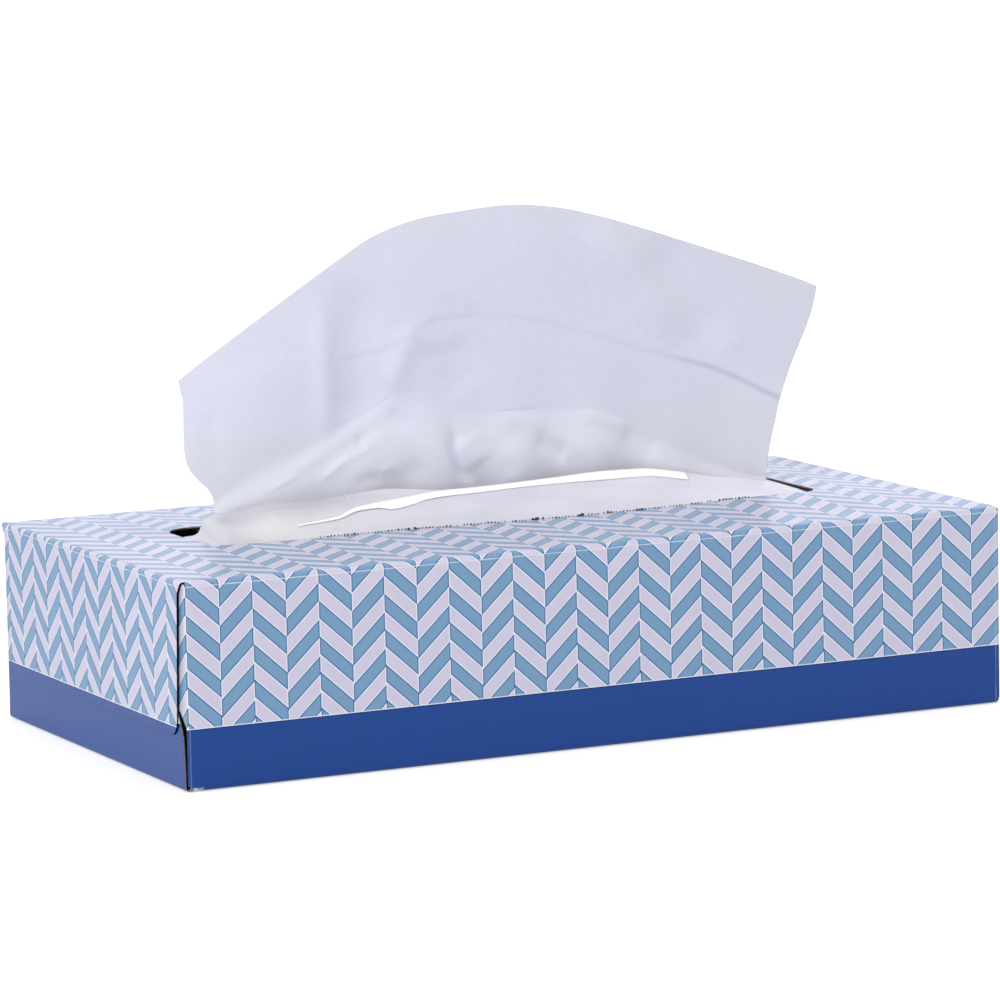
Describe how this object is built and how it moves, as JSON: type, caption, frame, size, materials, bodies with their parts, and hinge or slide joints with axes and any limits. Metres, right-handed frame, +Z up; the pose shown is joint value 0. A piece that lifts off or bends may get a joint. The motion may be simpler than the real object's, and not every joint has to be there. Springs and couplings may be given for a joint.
{
  "type": "tissue box",
  "caption": "Flat board tissue box with a long top opening, a slit film behind it, the folded pack, one popped sheet and the next one partly drawn up.",
  "frame": {"origin": "centre of the carton's base", "axes": "+X along the long side, -Y towards the front panel, +Z up"},
  "size_m": [0.23, 0.122, 0.132],
  "materials": {
    "printed_board": "coated, satin",
    "film": "translucent, satin",
    "tissue": "soft, matte"
  },
  "bodies": {
    "root": {"carton": "printed_board", "slit_film": "film", "tissue_stack": "tissue", "popped_tissue": "tissue", "next_tissue": "tissue"}
  },
  "joints": []
}
